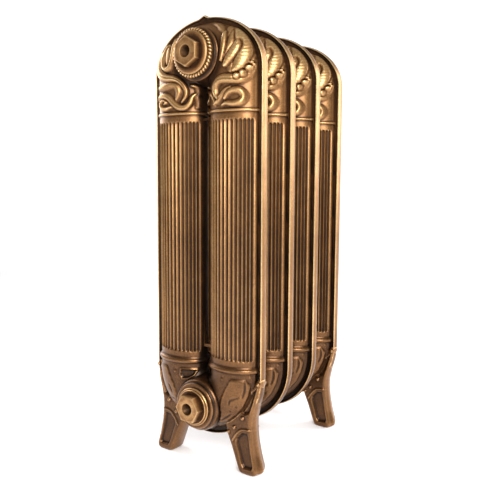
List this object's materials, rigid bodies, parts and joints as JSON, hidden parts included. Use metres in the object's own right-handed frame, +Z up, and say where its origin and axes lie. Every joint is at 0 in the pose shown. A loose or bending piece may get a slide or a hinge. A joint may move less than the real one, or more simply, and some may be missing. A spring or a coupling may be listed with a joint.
{
  "type": "cast iron column radiator",
  "caption": "Ornate cast iron column radiator: hollow fluted sections with thin rims joined by nipples, on splayed feet, with hexagon bushes at its ports",
  "frame": {"origin": "on the floor, under the middle of the assembled radiator's box", "axes": "+X across a section from rim to rim, +Y along the row of sections away from the open ports, +Z up"},
  "size_m": [0.204, 0.3612, 0.68],
  "materials": {
    "bronze_casting": "antique bronze paint, dark in the recesses and rubbed to gold on the relief",
    "bronze_fitting": "antique bronze paint over a machined casting",
    "bare_iron": "bare machined iron",
    "brass": "aged brass",
    "gasket": "matt graphited fibre"
  },
  "bodies": {
    "radiator": {"end_section_front": "bronze_casting", "middle_section_front": "bronze_casting", "middle_section_rear": "bronze_casting", "end_section_rear": "bronze_casting", "nipple_top_1": "bare_iron", "nipple_bottom_1": "bare_iron", "nipple_top_2": "bare_iron", "nipple_bottom_2": "bare_iron", "nipple_top_3": "bare_iron", "nipple_bottom_3": "bare_iron", "section_gasket_top_1": "gasket", "section_gasket_bottom_1": "gasket", "section_gasket_top_2": "gasket", "section_gasket_bottom_2": "gasket", "section_gasket_top_3": "gasket", "section_gasket_bottom_3": "gasket", "bush_front_top": "bronze_fitting", "bush_front_bottom": "bronze_fitting", "bush_rear_top": "bronze_fitting", "bush_rear_bottom": "bronze_fitting", "bush_gasket_front_top": "gasket", "bush_gasket_front_bottom": "gasket", "bush_gasket_rear_top": "gasket", "bush_gasket_rear_bottom": "gasket", "blanking_plug": "brass", "plug_seal": "gasket", "vent_body": "brass", "vent_seal": "gasket"},
    "bleed_screw": {"bleed_screw": "brass"}
  },
  "joints": [
    {"name": "bleed_screw_turn", "type": "hinge", "parent": "radiator", "child": "bleed_screw", "pos_m": [0, 0.17535, 0.623], "axis": [0, 1, 0], "range_deg": [0, 540]}
  ]
}
